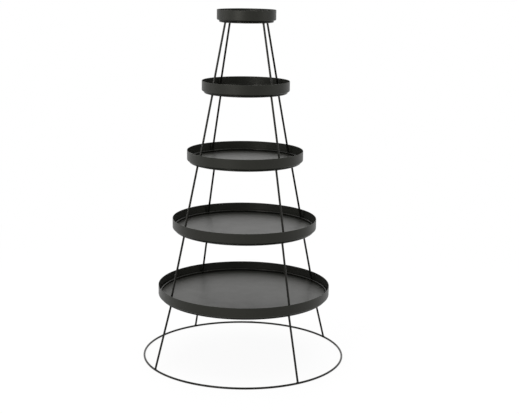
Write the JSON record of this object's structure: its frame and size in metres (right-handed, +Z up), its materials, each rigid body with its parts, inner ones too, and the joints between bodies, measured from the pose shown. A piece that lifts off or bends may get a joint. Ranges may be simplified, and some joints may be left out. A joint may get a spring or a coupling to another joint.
{
  "type": "tiered plant stand",
  "caption": "Free-standing plant stand of round metal trays on splayed wire frames, each tier resting inside the rim of the larger tray beneath.",
  "frame": {"origin": "on the floor, at the centre of the lowest foot ring", "axes": "+Z up through the centres of the trays; the legs of the lowest tier stand on the diagonals between X and Y; front is -Y"},
  "size_m": [0.5008, 0.5008, 0.856],
  "materials": {
    "tray_sheet": "satin powder coat on pressed steel sheet",
    "wire": "satin powder coat on round steel wire"
  },
  "bodies": {
    "tier_1": {"tray_1": "tray_sheet", "support_ring_1": "wire", "foot_ring_1": "wire", "leg_1_back_right": "wire", "leg_1_back_left": "wire", "leg_1_front_left": "wire", "leg_1_front_right": "wire"},
    "tier_2": {"tray_2": "tray_sheet", "support_ring_2": "wire", "foot_ring_2": "wire", "leg_2_back_right": "wire", "leg_2_back_left": "wire", "leg_2_front_left": "wire", "leg_2_front_right": "wire"},
    "tier_3": {"tray_3": "tray_sheet", "support_ring_3": "wire", "foot_ring_3": "wire", "leg_3_back_right": "wire", "leg_3_back_left": "wire", "leg_3_front_left": "wire", "leg_3_front_right": "wire"},
    "tier_4": {"tray_4": "tray_sheet", "support_ring_4": "wire", "foot_ring_4": "wire", "leg_4_back_right": "wire", "leg_4_back_left": "wire", "leg_4_front_left": "wire", "leg_4_front_right": "wire"},
    "tier_5": {"tray_5": "tray_sheet", "support_ring_5": "wire", "foot_ring_5": "wire", "leg_5_back_right": "wire", "leg_5_back_left": "wire", "leg_5_front_left": "wire", "leg_5_front_right": "wire"}
  },
  "joints": [
    {"name": "lift_tier_2", "type": "slide", "parent": "tier_1", "child": "tier_2", "axis": [0, 0, 1], "range_m": [0, 0.04]},
    {"name": "lift_tier_3", "type": "slide", "parent": "tier_2", "child": "tier_3", "axis": [0, 0, 1], "range_m": [0, 0.04]},
    {"name": "lift_tier_4", "type": "slide", "parent": "tier_3", "child": "tier_4", "axis": [0, 0, 1], "range_m": [0, 0.04]},
    {"name": "lift_tier_5", "type": "slide", "parent": "tier_4", "child": "tier_5", "axis": [0, 0, 1], "range_m": [0, 0.04]}
  ]
}
